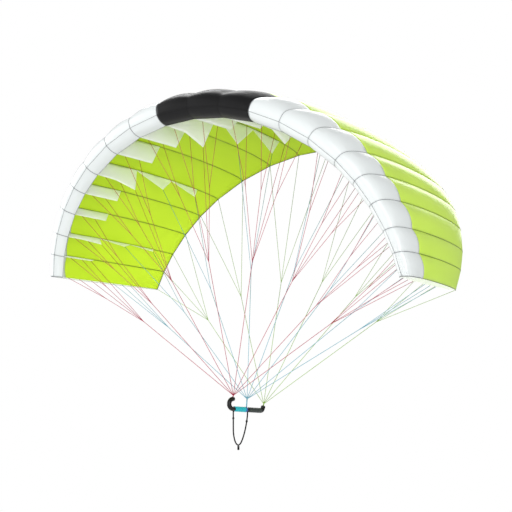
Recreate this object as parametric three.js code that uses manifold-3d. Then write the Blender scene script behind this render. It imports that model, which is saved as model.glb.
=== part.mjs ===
// A parawing in flight: a single-skin kite of nineteen cells on twenty ribs, three fans of bridle
// lines, and a short control bar with a harness loop.
// Millimetres, +Z up, the wing flies towards -Y. The origin lies on the axis of the control bar, where
// a hand closes round the grip.

import * as THREE from 'three';
import { mergeVertices } from 'three/addons/utils/BufferGeometryUtils.js';
import loadManifold from 'manifold-3d';

const manifold = await loadManifold();
manifold.setup();

// Cloth
const CLOTH = 1.2; // thickness of the skin and the ribs
const GAP = 0.35; // clearance between pieces that are sewn or fitted together
const RIB_GAP = 0.75; // clearance between a rib and the skin over it, narrower round the sharp nose

// Cells of one half wing from the middle outwards, after half the centre cell.
const CELL_RUNS = [
  { cells: 1, width: 1.0 },
  { cells: 3, width: 0.99 },
  { cells: 3, width: 0.786 },
  { cells: 2, width: 0.672 },
];

// Leading and trailing edge: arcs of an ellipse from the front, swept back or forward in plan.
const LEAD = {
  halfWidth: 1232, height: 1101, baseZ: 608.4, tipAngle: 82.2, rootY: -374, sweep: 171, power: 2,
};
const TRAIL = {
  halfWidth: 1067, height: 824, baseZ: 705.4, tipAngle: 91.9, rootY: 1050, sweep: -456, power: 1.72,
};
const SPAN_NUDGE = 0.02; // step along the span that gives the direction of the arch at a rib

// Rib profile in parts of the chord: t runs back along it, n stands off it to the outside.
const CAMBER = { rise: 0.14, front: 0.25, rear: 0.62 };
const NOSE_SEAM = { t: 0.055, n: -0.035, belly: 0.006 }; // inner edge of the nose panel
const BAND_END = 0.18; // rear edge of the nose panel on the outside
const BAND_PARTING = 0.0005; // the main panel starts this far behind it
const PANEL_STATIONS = [0.25, 0.335, 0.42, 0.545, 0.673, 0.77, 0.86, 1];
const NOSE_STEPS = { below: 2, above: 6 };

// Billow of a cell between its ribs, in parts of the cell's width.
const BILLOW = { depth: 0.245, front: 0.35, rear: 0.8 };
const SPAN_STEPS = 4;

// Lower edges of the three kinds of rib.
const STRIP = { corner: { t: 0.3, n: -0.037 }, rear: 0.42 };
const SHOULDER = { t: 0.183, n: -0.042 };
const FLARES = [
  { t: 0.295, n: -0.085, rear: 0.42 },
  { t: 0.545, n: -0.028, rear: 0.673 },
  { t: 0.795, n: -0.026, rear: 0.86 },
];
const FLARE_ROOT = 0.006; // depth of the strip that joins one flare to the next
const TIP = { depth: 0.045, power: 0.75, end: 0.004, stations: [0.15, 0.3, 0.45, 0.6, 0.75, 0.9] };
const RIBS = 20;
const LOADED_RIBS = [2, 5, 8]; // counted from the wing tip, as are the ribs in the tables of lines

// Bridle lines. Each row is one main line of a half wing and the ribs that its upper lines reach.
const FORK_AT = [0.11, 0.21]; // a forked pair holds the front of each rib
const FORK_SHARE = 0.46; // how far down to the main line the pair joins
const FRONT_MAINS = [
  { forks: [0, 1], singles: [{ rib: 0, t: 0.32 }, { rib: 1, t: 0.29 }] },
  { forks: [2, 3], singles: [{ rib: 2, t: 0.295 }] },
  { forks: [4, 5, 6], singles: [{ rib: 5, t: 0.295 }] },
  { forks: [7, 8, 9], singles: [{ rib: 8, t: 0.295 }] },
];
const MIDDLE_MAINS = [
  { rib: 0, stations: [0.53, 0.62, 0.71] },
  { rib: 2, stations: [0.545, 0.795] },
  { rib: 5, stations: [0.545, 0.795] },
  { rib: 8, stations: [0.545, 0.795] },
];
const REAR_MAINS = [{ ribs: [0, 1, 2, 3] }, { ribs: [4, 5, 6] }, { ribs: [7, 8, 9] }];
const MAIN_LENGTH = { front: 775, middle: 790, rear: 810 };
const LINE = { upper: 2.1, main: 2.8, knot: 2.4, sides: 4 };
const LINE_END_GAP = 1.6; // an upper line ends this far below its sewn loop

// Control bar, in the plane x = 0 and in its own frame with the straight part along Y.
const BAR = { radius: 12.8, slope: -4.4, sides: 12, steps: 40 };
const HOOK = { start: -76, depth: 37, height: 56, steps: 8 };
const REAR_BEND = { start: 198.4, radius: 16, turn: 65, stub: 15, steps: 4 };
const STRAIGHT_STEPS = 8;
const PLUG = { radius: 11.8, height: 5, skirt: 1.5, sides: 16 };
const PLUG_SHOULDER = { radius: 8.3, height: 4 };
const GRIP = { middle: -13, half: 51.5, inner: 13.4, outer: 14.8, round: 0.5, sides: 24 };
const SLEEVE = { middle: 133, half: 61, inner: 13.4, outer: 14.3, round: 0.4, sides: 24 };
const HOLE_SIDES = 12;
const WELD = 1e-4; // vertices this near to each other are one

// Where the main lines of a fan gather, and the end of the short line that goes on into the bar.
const GATHERS = {
  front: { y: -71, z: 81.5, end: { y: -78, z: 69 } },
  middle: { y: 62, z: 56.4, end: { y: 55.5, z: 2 } },
  rear: { y: 224.5, z: 21.4, end: { y: 221.9, z: 8.3 } },
};
const LINE_HOLE = { radius: 2, spare: 1 };

// Harness loop: a cord that goes into the bar on both sides of the grip. Route in y and z.
const CORD = { radius: 4, sides: 8, steps: 36 };
const CORD_HOLE = { radius: 4.7, spare: 3 };
const CORD_ROUTE = [
  { y: -71, z: 1 },
  { y: -71, z: -11.5 },
  { y: -71, z: -30 },
  { y: -71, z: -60 },
  { y: -71, z: -95 },
  { y: -70, z: -126.5 },
  { y: -65, z: -152.5 },
  { y: -54.5, z: -178.5 },
  { y: -40, z: -196 },
  { y: -22, z: -203 },
  { y: -5, z: -197 },
  { y: 9, z: -183 },
  { y: 27, z: -154.5 },
  { y: 46, z: -112 },
  { y: 59, z: -68.5 },
  { y: 65, z: -38.6 },
  { y: 66, z: -22.6 },
  { y: 66, z: -9.6 },
];
const STOPPERS = [
  { name: 'harness_stopper_front', along: 0.109 },
  { name: 'harness_stopper_rear', along: 0.859 },
];
const STOPPER = { inner: 4.5, outer: 6.2, half: 4.5, round: 1.2, sides: 12 };
const TAIL = { y: -22, length: 24, radius: 6.2, round: 2.2, sides: 12 };

const COLOURS = {
  green: { color: 0xb4e02c, roughness: 0.55 },
  white: { color: 0xeef1f2, roughness: 0.5 },
  black: { color: 0x2b2b2b, roughness: 0.45 },
  rib: { color: 0xe4f0d8, roughness: 0.6 },
  red: { color: 0xc8324a, roughness: 0.6 },
  blue: { color: 0x5d9fd0, roughness: 0.6 },
  lime: { color: 0xa9c96a, roughness: 0.6 },
  bar: { color: 0x2a2b2c, roughness: 0.5 },
  grip: { color: 0x1f9ea8, roughness: 0.7 },
  cord: { color: 0x303030, roughness: 0.8 },
};
const MATERIALS = Object.fromEntries(
  Object.entries(COLOURS).map(([name, look]) => [
    name,
    new THREE.MeshStandardMaterial({ ...look, metalness: 0 }),
  ]),
);

const wing = new THREE.Group();

function addMesh(parent, name, geometry, look) {
  const mesh = new THREE.Mesh(geometry, MATERIALS[look]);
  mesh.name = name;
  parent.add(mesh);
  return mesh;
}

const numbered = (name, number) => `${name}_${String(number).padStart(2, '0')}`;

// The frame of the wing: edges, rib planes and profile

/** Point of an edge at span station s, which is -1 at the left tip and +1 at the right tip. */
function edgePoint(edge, s) {
  const angle = THREE.MathUtils.degToRad(edge.tipAngle) * s;
  return new THREE.Vector3(
    edge.halfWidth * Math.sin(angle),
    edge.rootY + edge.sweep * Math.abs(s) ** edge.power,
    edge.baseZ + edge.height * Math.cos(angle),
  );
}

function midChord(s) {
  return edgePoint(LEAD, s).lerp(edgePoint(TRAIL, s), 0.5);
}

/** Span stations of all ribs from the left tip to the right tip. */
function ribStations() {
  let reach = CELL_RUNS[0].width / 2;
  const half = [reach];
  for (const { cells, width } of CELL_RUNS) {
    for (let cell = 0; cell < cells; cell++) {
      reach += width;
      half.push(reach);
    }
  }
  const right = half.map((distance) => distance / reach);
  return [...right.map((s) => -s).reverse(), ...right];
}

function camber(t) {
  return CAMBER.rise * t ** CAMBER.front * (1 - t) ** CAMBER.rear;
}

function billow(t) {
  return BILLOW.depth * t ** BILLOW.front * (1 - t) ** BILLOW.rear;
}

/** Profile from the nose seam round the leading edge to the trailing edge, with outward normals. */
function profileStations() {
  const points = [];
  for (let step = 0; step < NOSE_STEPS.below; step++) {
    const share = 1 - step / NOSE_STEPS.below;
    const belly = NOSE_SEAM.belly * Math.sin(Math.PI * share);
    points.push({ t: NOSE_SEAM.t * share - belly, n: NOSE_SEAM.n * share - belly, bulge: 0 });
  }
  const above = [];
  for (let step = 0; step <= NOSE_STEPS.above; step++) {
    above.push(BAND_END * (step / NOSE_STEPS.above) ** 2);
  }
  for (const t of [...above, ...PANEL_STATIONS]) {
    points.push({ t, n: camber(t), bulge: billow(t) });
  }
  return points.map((point, index) => {
    const before = points[Math.max(index - 1, 0)];
    const after = points[Math.min(index + 1, points.length - 1)];
    const run = Math.hypot(after.t - before.t, after.n - before.n);
    const normal = { t: -(after.n - before.n) / run, n: (after.t - before.t) / run };
    return { ...point, normal };
  });
}

const PROFILE = profileStations();
const BAND_INDEX = NOSE_STEPS.below + NOSE_STEPS.above;
const NOSE_PROFILE = PROFILE.slice(0, BAND_INDEX + 1);
const PANEL_FRONT = {
  ...PROFILE[BAND_INDEX],
  t: BAND_END + BAND_PARTING,
  n: camber(BAND_END + BAND_PARTING),
};
const PANEL_PROFILE = [PANEL_FRONT, ...PROFILE.slice(BAND_INDEX + 1)];

const joinLevel = (t) => ({ t, n: camber(t) - FLARE_ROOT });
const tipLevel = (t) => ({ t, n: -TIP.depth * Math.sin(Math.PI * t ** TIP.power) });
const RIB_KINDS = {
  strip: { rear: STRIP.rear, lower: [STRIP.corner] },
  loaded: {
    rear: FLARES[2].rear,
    lower: [
      SHOULDER,
      FLARES[0],
      joinLevel(FLARES[0].rear),
      FLARES[1],
      joinLevel(FLARES[1].rear),
      FLARES[2],
    ],
  },
  tip: { rear: 1, lower: [...TIP.stations.map(tipLevel), { t: 1, n: -TIP.end }] },
};

function ribKind(index) {
  const fromTip = Math.min(index, RIBS - 1 - index);
  if (fromTip === 0) return RIB_KINDS.tip;
  return LOADED_RIBS.includes(fromTip) ? RIB_KINDS.loaded : RIB_KINDS.strip;
}

/** Plane of a rib: its leading point, chord, and the directions back, up (outwards) and side. */
function ribFrame(s, index) {
  const lead = edgePoint(LEAD, s);
  const chord = edgePoint(TRAIL, s).sub(lead);
  const length = chord.length();
  const back = chord.normalize();
  const spanwise = midChord(s + SPAN_NUDGE).sub(midChord(s - SPAN_NUDGE));
  const up = spanwise.cross(back).normalize();
  const side = back.clone().cross(up);
  return { lead, length, back, up, side, kind: ribKind(index) };
}

const ribs = ribStations().map(ribFrame);

function ribPoint(rib, { t, n }) {
  return rib.lead.clone().addScaledVector(rib.back, t * rib.length).addScaledVector(rib.up, n * rib.length);
}

function ribNormal(rib, { normal }) {
  return rib.back.clone().multiplyScalar(normal.t).addScaledVector(rib.up, normal.n);
}

// Skin: nose panels and main panels

/** Point and outward direction of the skin at share v of the way from one rib to the next. */
function skinPoint(cell, station, v) {
  const [left, right] = [ribs[cell], ribs[cell + 1]];
  const from = ribPoint(left, station);
  const to = ribPoint(right, station);
  const width = from.distanceTo(to);
  const normal = ribNormal(left, station).lerp(ribNormal(right, station), v).normalize();
  const point = from.lerp(to, v).addScaledVector(normal, station.bulge * width * 4 * v * (1 - v));
  return { point, normal };
}

/** Closed sheet of even thickness over a grid of skin points, rows along the chord. */
function sheetGeometry(rows) {
  const last = { row: rows.length - 1, column: rows[0].length - 1 };
  const flat = rows.flat();
  const layer = (offset) =>
    flat.flatMap(({ point, normal }) => point.clone().addScaledVector(normal, offset).toArray());
  const outer = (row, column) => row * rows[0].length + column;
  const inner = (row, column) => outer(row, column) + flat.length;
  const faces = [];
  for (let row = 0; row < last.row; row++) {
    for (let column = 0; column < last.column; column++) {
      const corners = [[row, column], [row, column + 1], [row + 1, column + 1], [row + 1, column]];
      const [a, b, c, d] = corners.map((corner) => outer(...corner));
      const [e, f, g, h] = corners.map((corner) => inner(...corner));
      faces.push(a, b, c, a, c, d, e, g, f, e, h, g);
    }
  }
  const rim = [];
  for (let column = 0; column < last.column; column++) rim.push([0, column]);
  for (let row = 0; row < last.row; row++) rim.push([row, last.column]);
  for (let column = last.column; column > 0; column--) rim.push([last.row, column]);
  for (let row = last.row; row > 0; row--) rim.push([row, 0]);
  rim.forEach((corner, index) => {
    const next = rim[(index + 1) % rim.length];
    faces.push(outer(...next), outer(...corner), inner(...corner));
    faces.push(outer(...next), inner(...corner), inner(...next));
  });
  const geometry = new THREE.BufferGeometry();
  const positions = [...layer(CLOTH / 2), ...layer(-CLOTH / 2)];
  geometry.setAttribute('position', new THREE.Float32BufferAttribute(positions, 3));
  geometry.setIndex(faces);
  geometry.computeVertexNormals();
  return geometry;
}

/** Skin from one rib to another over a run of profile stations, parted at both end ribs. */
function skinGeometry(firstRib, lastRib, stations) {
  const rows = stations.map((station) => {
    const row = [];
    for (let cell = firstRib; cell < lastRib; cell++) {
      const width = ribPoint(ribs[cell], station).distanceTo(ribPoint(ribs[cell + 1], station));
      const parting = GAP / 2 / width;
      const lowest = cell === firstRib ? parting : 0;
      const highest = cell === lastRib - 1 ? 1 - parting : 1;
      for (let step = cell === firstRib ? 0 : 1; step <= SPAN_STEPS; step++) {
        const v = THREE.MathUtils.clamp(step / SPAN_STEPS, lowest, highest);
        row.push(skinPoint(cell, station, v));
      }
    }
    return row;
  });
  return sheetGeometry(rows);
}

const BLACK_FROM = LOADED_RIBS[2];
const BLACK_TO = RIBS - 1 - BLACK_FROM;
addMesh(wing, 'nose_white_left', skinGeometry(0, BLACK_FROM, NOSE_PROFILE), 'white');
addMesh(wing, 'nose_black_centre', skinGeometry(BLACK_FROM, BLACK_TO, NOSE_PROFILE), 'black');
addMesh(wing, 'nose_white_right', skinGeometry(BLACK_TO, RIBS - 1, NOSE_PROFILE), 'white');
for (let cell = 0; cell < RIBS - 1; cell++) {
  addMesh(wing, numbered('panel', cell + 1), skinGeometry(cell, cell + 1, PANEL_PROFILE), 'green');
}

// Ribs: cloth stood on edge under the seams between the cells

const RIB_INSET = CLOTH / 2 + RIB_GAP;

/** Outline of a rib in its plane, in millimetres: along under the skin, then back along the free edge. */
function ribOutline({ length, kind }) {
  const under = PROFILE.filter(({ t }) => t <= kind.rear).map(
    ({ t, n, normal }) =>
      new THREE.Vector2(t * length - normal.t * RIB_INSET, n * length - normal.n * RIB_INSET),
  );
  const free = kind.lower.map(({ t, n }) => new THREE.Vector2(t * length, n * length));
  return [...under.reverse(), ...free];
}

ribs.forEach((rib, index) => {
  const outline = new THREE.Shape(ribOutline(rib));
  const geometry = new THREE.ExtrudeGeometry(outline, { depth: CLOTH, bevelEnabled: false });
  geometry.translate(0, 0, -CLOTH / 2);
  const mesh = addMesh(wing, numbered('rib', index + 1), geometry, 'rib');
  mesh.position.copy(rib.lead);
  mesh.quaternion.setFromRotationMatrix(new THREE.Matrix4().makeBasis(rib.back, rib.up, rib.side));
});

// Solids for joining and cutting

/** Closed solid of a geometry, with its shared vertices merged. */
function solidOf(geometry) {
  geometry.deleteAttribute('normal');
  geometry.deleteAttribute('uv');
  const merged = mergeVertices(geometry, WELD);
  return new manifold.Manifold(
    new manifold.Mesh({
      numProp: 3,
      vertProperties: new Float32Array(merged.attributes.position.array),
      triVerts: new Uint32Array(merged.index.array),
    }),
  );
}

function geometryOf(solid) {
  const { vertProperties, triVerts } = solid.getMesh();
  const geometry = new THREE.BufferGeometry();
  geometry.setAttribute('position', new THREE.Float32BufferAttribute(vertProperties, 3));
  geometry.setIndex(Array.from(triVerts));
  geometry.computeVertexNormals();
  return geometry;
}

/** Turns a geometry from its own axis to another direction and sets its middle on a point. */
function place(geometry, ownAxis, direction, middle) {
  geometry.applyQuaternion(new THREE.Quaternion().setFromUnitVectors(ownAxis, direction));
  return geometry.translate(...middle.toArray());
}

const AXIS_Y = new THREE.Vector3(0, 1, 0);
const AXIS_Z = new THREE.Vector3(0, 0, 1);

// Bridle lines

const middlePoint = ({ y, z }) => new THREE.Vector3(0, y, z);

function lineSolid(from, to, diameter) {
  const run = to.clone().sub(from);
  const rod = new THREE.CylinderGeometry(diameter / 2, diameter / 2, run.length(), LINE.sides);
  return solidOf(place(rod, AXIS_Y, run.normalize(), from.clone().lerp(to, 0.5)));
}

function knotSolid(at) {
  const knot = new THREE.OctahedronGeometry(LINE.knot);
  return solidOf(knot.translate(...at.toArray()));
}

/** The free edge of a rib at chord station t, where a loop for a line is sewn on. */
function loopPoint(rib, t) {
  const seam = PROFILE[0];
  const inset = RIB_INSET / rib.length;
  const start = { t: seam.t - seam.normal.t * inset, n: seam.n - seam.normal.n * inset };
  const edge = [start, ...rib.kind.lower];
  const behind = Math.max(1, edge.findIndex((point) => point.t >= t));
  const [a, b] = [edge[behind - 1], edge[behind]];
  return ribPoint(rib, { t, n: THREE.MathUtils.mapLinear(t, a.t, b.t, a.n, b.n) });
}

/** The lower face of the skin at the rear end of a rib, or of the rib itself at a wing tip. */
function rearPoint(rib) {
  if (rib.kind === RIB_KINDS.tip) return loopPoint(rib, 1);
  return ribPoint(rib, { t: 1, n: 0 }).addScaledVector(rib.up, -CLOTH / 2);
}

function middleOf(points) {
  return points.reduce((sum, point) => sum.add(point), new THREE.Vector3()).divideScalar(points.length);
}

/** End of a line's run from a loop towards a point below, a little clear of the loop. */
function lineEnd(loop, below) {
  return loop.clone().addScaledVector(below.clone().sub(loop).normalize(), LINE_END_GAP);
}

/** One main line with its uppers. The main runs from the gather towards the middle of its loops. */
function cascade(gather, length, forks, singles) {
  const direction = middleOf([...forks.flat(), ...singles]).sub(gather).normalize();
  const branch = gather.clone().addScaledVector(direction, length);
  const pieces = [lineSolid(gather, branch, LINE.main), knotSolid(branch)];
  for (const pair of forks) {
    const join = middleOf(pair).lerp(branch, FORK_SHARE);
    pieces.push(knotSolid(join), lineSolid(join, branch, LINE.upper));
    for (const loop of pair) pieces.push(lineSolid(lineEnd(loop, join), join, LINE.upper));
  }
  for (const loop of singles) pieces.push(lineSolid(lineEnd(loop, branch), branch, LINE.upper));
  return pieces;
}

/** A whole fan for both halves: rows of main lines, a function that gives a row's loops, a gather. */
function lineFan(rows, loopsOf, length, spot) {
  const gather = middlePoint(spot);
  const pieces = [knotSolid(gather), lineSolid(middlePoint(spot.end), gather, LINE.main)];
  for (const half of [ribs, [...ribs].reverse()]) {
    for (const row of rows) {
      const { forks, singles } = loopsOf(row, half);
      pieces.push(...cascade(gather, length, forks, singles));
    }
  }
  return geometryOf(pieces.reduce((whole, piece) => whole.add(piece)));
}

const frontLoops = (row, half) => ({
  forks: row.forks.map((rib) => FORK_AT.map((t) => loopPoint(half[rib], t))),
  singles: row.singles.map(({ rib, t }) => loopPoint(half[rib], t)),
});
const middleLoops = (row, half) => ({
  forks: [],
  singles: row.stations.map((t) => loopPoint(half[row.rib], t)),
});
const rearLoops = (row, half) => ({
  forks: [],
  singles: row.ribs.map((rib) => rearPoint(half[rib])),
});
const FANS = [
  { name: 'lines_front', rows: FRONT_MAINS, loops: frontLoops, set: 'front', look: 'red' },
  { name: 'lines_middle', rows: MIDDLE_MAINS, loops: middleLoops, set: 'middle', look: 'blue' },
  { name: 'lines_rear', rows: REAR_MAINS, loops: rearLoops, set: 'rear', look: 'lime' },
];
for (const { name, rows, loops, set, look } of FANS) {
  addMesh(wing, name, lineFan(rows, loops, MAIN_LENGTH[set], GATHERS[set]), look);
}

// Control bar: a bent tube with a hook in front and a short upturned end behind

const barSlope = THREE.MathUtils.degToRad(BAR.slope);
const barGroup = new THREE.Group();
barGroup.rotation.x = barSlope;
wing.add(barGroup);

/** Axis of the bar in its own frame, from the rear end forward to the end of the hook. */
function barAxis() {
  const points = [];
  const turn = THREE.MathUtils.degToRad(REAR_BEND.turn);
  const bendPoint = (angle, beyond) =>
    new THREE.Vector3(
      0,
      REAR_BEND.start + REAR_BEND.radius * Math.sin(angle) + beyond * Math.cos(angle),
      REAR_BEND.radius * (1 - Math.cos(angle)) + beyond * Math.sin(angle),
    );
  points.push(bendPoint(turn, REAR_BEND.stub), bendPoint(turn, REAR_BEND.stub / 2));
  for (let step = REAR_BEND.steps; step >= 0; step--) {
    points.push(bendPoint((turn * step) / REAR_BEND.steps, 0));
  }
  for (let step = 1; step < STRAIGHT_STEPS; step++) {
    const y = THREE.MathUtils.lerp(REAR_BEND.start, HOOK.start, step / STRAIGHT_STEPS);
    points.push(new THREE.Vector3(0, y, 0));
  }
  for (let step = 0; step <= HOOK.steps; step++) {
    const angle = (Math.PI * step) / HOOK.steps;
    const y = HOOK.start - HOOK.depth * Math.sin(angle);
    points.push(new THREE.Vector3(0, y, (HOOK.height / 2) * (1 - Math.cos(angle))));
  }
  return new THREE.CatmullRomCurve3(points);
}

/** Even polygon that stands for a round section. */
function roundSection(radius, sides) {
  const corners = [];
  for (let side = 0; side < sides; side++) {
    const angle = (2 * Math.PI * side) / sides;
    corners.push(new THREE.Vector2(radius * Math.cos(angle), radius * Math.sin(angle)));
  }
  return new THREE.Shape(corners);
}

function tubeAlong(curve, radius, sides, steps) {
  return new THREE.ExtrudeGeometry(roundSection(radius, sides), { extrudePath: curve, steps });
}

/** Cuts a blind hole, in the bar's frame, that takes a cord from its end out to a second point. */
function drill(geometry, end, outside, { radius, spare }) {
  const bottom = middlePoint(end);
  const direction = middlePoint(outside).sub(bottom).normalize();
  bottom.addScaledVector(direction, -spare);
  const hole = new THREE.CylinderGeometry(radius, radius, 2 * BAR.radius, HOLE_SIDES);
  hole.translate(0, BAR.radius, 0);
  place(hole, AXIS_Y, direction, bottom).rotateX(-barSlope);
  return geometryOf(solidOf(geometry).subtract(solidOf(hole)));
}

/** The bar with holes on top for two fans of lines and underneath for the harness cord. */
function barGeometry(axis) {
  const { front, middle } = GATHERS;
  const tube = tubeAlong(axis, BAR.radius, BAR.sides, BAR.steps);
  const lined = drill(drill(tube, front.end, front, LINE_HOLE), middle.end, middle, LINE_HOLE);
  const looped = drill(lined, CORD_ROUTE[0], CORD_ROUTE[1], CORD_HOLE);
  return drill(looped, CORD_ROUTE.at(-1), CORD_ROUTE.at(-2), CORD_HOLE);
}

/** Rounded sleeve about its own Y axis, made by turning a section with rounded corners. */
function sleeveGeometry({ inner, outer, half, round, sides }) {
  const section = [
    [inner, -half], [outer - round, -half], [outer, round - half],
    [outer, half - round], [outer - round, half], [inner, half], [inner, -half],
  ];
  return new THREE.LatheGeometry(section.map(([radius, y]) => new THREE.Vector2(radius, y)), sides);
}

/** Low domed plug that closes an end of the bar, standing up from its own y = 0. */
function plugGeometry() {
  const section = [
    [0, 0], [PLUG.radius, 0], [PLUG.radius, PLUG.skirt],
    [PLUG_SHOULDER.radius, PLUG_SHOULDER.height], [0, PLUG.height],
  ];
  return new THREE.LatheGeometry(section.map(([radius, y]) => new THREE.Vector2(radius, y)), PLUG.sides);
}

const barCurve = barAxis();
addMesh(barGroup, 'bar', barGeometry(barCurve), 'bar');
addMesh(barGroup, 'grip', sleeveGeometry(GRIP).translate(0, GRIP.middle, 0), 'grip');
addMesh(barGroup, 'bar_sleeve', sleeveGeometry(SLEEVE).translate(0, SLEEVE.middle, 0), 'bar');

function plugOn(at, outward) {
  const seat = barCurve.getPoint(at).addScaledVector(outward, GAP);
  return place(plugGeometry(), AXIS_Y, outward, seat);
}

const rearPlug = plugOn(0, barCurve.getTangent(0).negate());
const { rear } = GATHERS;
addMesh(barGroup, 'bar_plug_rear', drill(rearPlug, rear.end, rear, LINE_HOLE), 'bar');
addMesh(barGroup, 'bar_plug_front', plugOn(1, barCurve.getTangent(1)), 'bar');

// Harness loop with two stoppers and a short tail

const cordCurve = new THREE.CatmullRomCurve3(CORD_ROUTE.map(middlePoint));
addMesh(wing, 'harness_loop', tubeAlong(cordCurve, CORD.radius, CORD.sides, CORD.steps), 'cord');
for (const { name, along } of STOPPERS) {
  const stopper = sleeveGeometry(STOPPER);
  place(stopper, AXIS_Y, cordCurve.getTangentAt(along), cordCurve.getPointAt(along));
  addMesh(wing, name, stopper, 'cord');
}
const tailTop = Math.min(...CORD_ROUTE.map(({ z }) => z)) - CORD.radius - GAP;
const tailSection = [
  [0, -TAIL.length], [TAIL.radius - TAIL.round, -TAIL.length], [TAIL.radius, TAIL.round - TAIL.length],
  [TAIL.radius, -TAIL.round], [TAIL.radius - TAIL.round, 0], [0, 0],
];
const tailOutline = tailSection.map(([radius, y]) => new THREE.Vector2(radius, y));
const tail = new THREE.LatheGeometry(tailOutline, TAIL.sides);
place(tail, AXIS_Y, AXIS_Z, new THREE.Vector3(0, TAIL.y, tailTop));
addMesh(wing, 'harness_tail', tail, 'cord');

export default wing;
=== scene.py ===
# A parawing in flight: a cloth skin on ribs, three fans of bridle lines, a control bar and a harness loop.
# Metres, +Z up. The wing flies towards -Y, and the origin is on the axis of the bar, inside the hand grip.

import bpy
import numpy as np
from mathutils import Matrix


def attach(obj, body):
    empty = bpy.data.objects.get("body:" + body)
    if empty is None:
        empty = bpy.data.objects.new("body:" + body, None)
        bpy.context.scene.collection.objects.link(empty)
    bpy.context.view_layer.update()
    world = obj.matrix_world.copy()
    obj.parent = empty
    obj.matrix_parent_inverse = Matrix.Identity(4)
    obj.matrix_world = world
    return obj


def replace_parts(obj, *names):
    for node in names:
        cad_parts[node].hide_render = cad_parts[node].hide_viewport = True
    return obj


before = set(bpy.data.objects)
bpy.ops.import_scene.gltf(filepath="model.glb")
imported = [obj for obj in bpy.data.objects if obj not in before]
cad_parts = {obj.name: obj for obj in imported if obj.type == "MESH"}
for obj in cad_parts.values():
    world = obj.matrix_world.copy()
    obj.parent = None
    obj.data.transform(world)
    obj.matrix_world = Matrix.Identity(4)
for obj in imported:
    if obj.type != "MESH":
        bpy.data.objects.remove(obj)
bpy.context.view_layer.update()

# Camera: a long lens in front of the wing, to the right of its middle, at the height of the wing tips.
# The wing fills four fifths of the picture's width.
CAMERA_AT = (8.9558, -12.2541, 0.7549)
CAMERA_TURN = (90.4505, 0.0, 35.831)  # degrees
LENS_MM, SENSOR_MM = 187.03, 36.0
FARTHEST_SEEN = 200.0
camera = bpy.data.objects.new("camera", bpy.data.cameras.new("camera"))
camera.data.lens = LENS_MM
camera.data.sensor_width = SENSOR_MM
camera.data.clip_end = FARTHEST_SEEN
camera.location = CAMERA_AT
camera.rotation_euler = np.radians(CAMERA_TURN)
bpy.context.collection.objects.link(camera)
bpy.context.scene.camera = camera
bpy.context.scene.view_settings.view_transform = "Standard"


# Harness loop: one length of black braided cord, 8 mm thick. Both ends go up into holes in the bar,
# on either side of the grip, and the bight hangs below it with two stoppers pushed on.
CORD_DIAMETER = 0.008
CORD_SIDES = 16
CORD_STEPS = 14  # for each span of the route
CORD_ROUTE_MM = [
    (-71, 1), (-71, -11.5), (-71, -30), (-71, -60), (-71, -95), (-70, -126.5), (-65, -152.5),
    (-54.5, -178.5), (-40, -196), (-22, -203), (-5, -197), (9, -183), (27, -154.5), (46, -112),
    (59, -68.5), (65, -38.6), (66, -22.6), (66, -9.6),
]  # y and z, in the plane x = 0
SPANWISE = (1.0, 0.0, 0.0)


def unit(vectors):
    """Vectors divided by their own length."""
    return vectors / np.linalg.norm(vectors, axis=-1, keepdims=True)


def upright(pairs_mm):
    """Points of the plane x = 0, in metres, from pairs of y and z in millimetres."""
    pairs = np.asarray(pairs_mm, float) / 1000
    return np.concatenate([np.zeros((len(pairs), 1)), pairs], axis=1)


def smooth_route(points, steps):
    """Catmull-Rom curve. On the span from p1 to p2, with s from 0 to 1, it is half of
    2 p1 + (p2 - p0) s + (2 p0 - 5 p1 + 4 p2 - p3) s^2 + (3 p1 - p0 - 3 p2 + p3) s^3."""
    ends = 2 * points[0] - points[1], 2 * points[-1] - points[-2]
    p = np.concatenate([ends[:1], points, ends[1:]])
    p0, p1, p2, p3 = (p[i : len(p) - 3 + i, None] for i in range(4))
    s = np.linspace(0, 1, steps, endpoint=False)[None, :, None]
    bend = (2 * p0 - 5 * p1 + 4 * p2 - p3) * s**2 + (3 * p1 - p0 - 3 * p2 + p3) * s**3
    curve = (2 * p1 + (p2 - p0) * s + bend) / 2
    return np.concatenate([curve.reshape(-1, 3), points[-1:]])


def tube_points(path, radius, sides, across=SPANWISE):
    """Rings round a path: at each path point, path + radius (cos a side + sin a up), where side is the
    across direction made square to the path and up is square to both."""
    along = unit(np.gradient(path, axis=0))
    side = unit(np.cross(np.cross(along, across), along))
    up = np.cross(along, side)
    angle = np.linspace(0, 2 * np.pi, sides, endpoint=False)
    ring = np.cos(angle)[:, None] * side[:, None] + np.sin(angle)[:, None] * up[:, None]
    return path[:, None] + np.broadcast_to(radius, len(path))[:, None, None] * ring


def grid_faces(rows, columns, wrap=False):
    """Quads over a grid of points, and the same quads on a grid whose last column repeats the first."""
    row = np.arange(rows)[:, None]
    column = np.arange(columns + wrap)[None, :]

    def quads(grid):
        """The four corners of each square of a grid of point numbers."""
        corners = [grid[:-1, :-1], grid[:-1, 1:], grid[1:, 1:], grid[1:, :-1]]
        return np.stack(corners, -1).reshape(-1, 4)

    return quads(row * columns + column % columns), quads(row * (columns + wrap) + column)


def distance_along(path):
    """Length of a path up to each of its points."""
    steps = np.linalg.norm(np.diff(path, axis=0), axis=-1)
    return np.concatenate([np.zeros_like(steps[:1]), np.cumsum(steps, axis=0)])


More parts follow.
